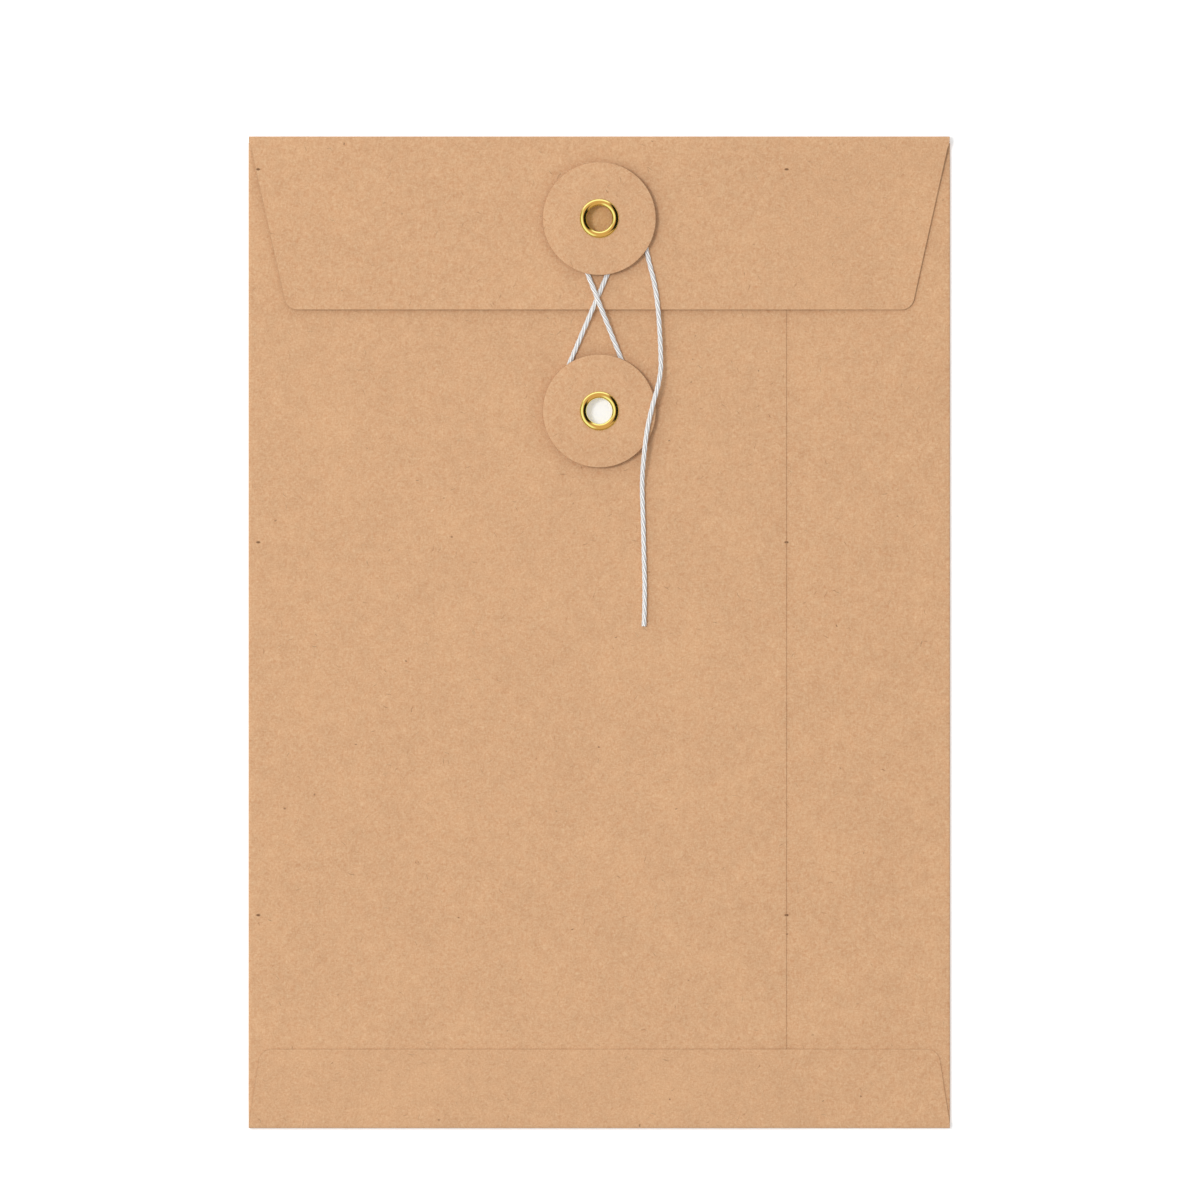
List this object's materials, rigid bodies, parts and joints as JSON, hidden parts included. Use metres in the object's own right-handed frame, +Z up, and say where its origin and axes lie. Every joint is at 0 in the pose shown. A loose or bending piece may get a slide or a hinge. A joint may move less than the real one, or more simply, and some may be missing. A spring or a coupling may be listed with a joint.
{
  "type": "string tie envelope",
  "caption": "Flat kraft paper envelope with a tapered flap, closed by a cotton string wound in a figure of eight round paper buttons on brass eyelets.",
  "frame": {"origin": "middle of the envelope's footprint, on the table that its front lies on", "axes": "+Z up out of the back face, +Y towards the closing flap's fold, +X to the right seen from above"},
  "size_m": [0.162, 0.229, 0.0057],
  "materials": {
    "kraft_paper": "uncoated brown kraft, pale inside",
    "button_board": "laminated kraft board, cut edge",
    "patch_paper": "uncoated kraft",
    "brass": "polished",
    "cotton_string": "twisted white cotton",
    "glue": "dried paper glue film"
  },
  "bodies": {
    "pocket": {"front_panel": "kraft_paper", "left_fold": "kraft_paper", "right_fold": "kraft_paper", "bottom_fold": "kraft_paper", "left_back_panel": "kraft_paper", "right_back_panel": "kraft_paper", "bottom_flap": "kraft_paper", "flap_fold": "kraft_paper", "seam_glue": "glue", "bottom_glue": "glue", "pocket_eyelet": "brass", "pocket_patch": "patch_paper"},
    "flap": {"closing_flap": "kraft_paper", "flap_eyelet": "brass", "flap_patch": "patch_paper", "string_knot": "cotton_string", "string_winding": "cotton_string", "string_tail": "cotton_string"},
    "upper_button": {"flap_button": "button_board"},
    "lower_button": {"pocket_button": "button_board"}
  },
  "joints": [
    {"name": "flap_hinge", "type": "hinge", "parent": "pocket", "child": "flap", "pos_m": [0, 0.11317, 0.00133], "axis": [-1, 0, 0], "range_deg": [0, 150], "deforming": ["flap_fold", "string_winding"]},
    {"name": "flap_button_spin", "type": "hinge", "parent": "flap", "child": "upper_button", "pos_m": [0, 0.0955, 0], "axis": [0, 0, 1], "continuous": true},
    {"name": "pocket_button_spin", "type": "hinge", "parent": "pocket", "child": "lower_button", "pos_m": [0, 0.0511, 0], "axis": [0, 0, 1], "continuous": true}
  ]
}
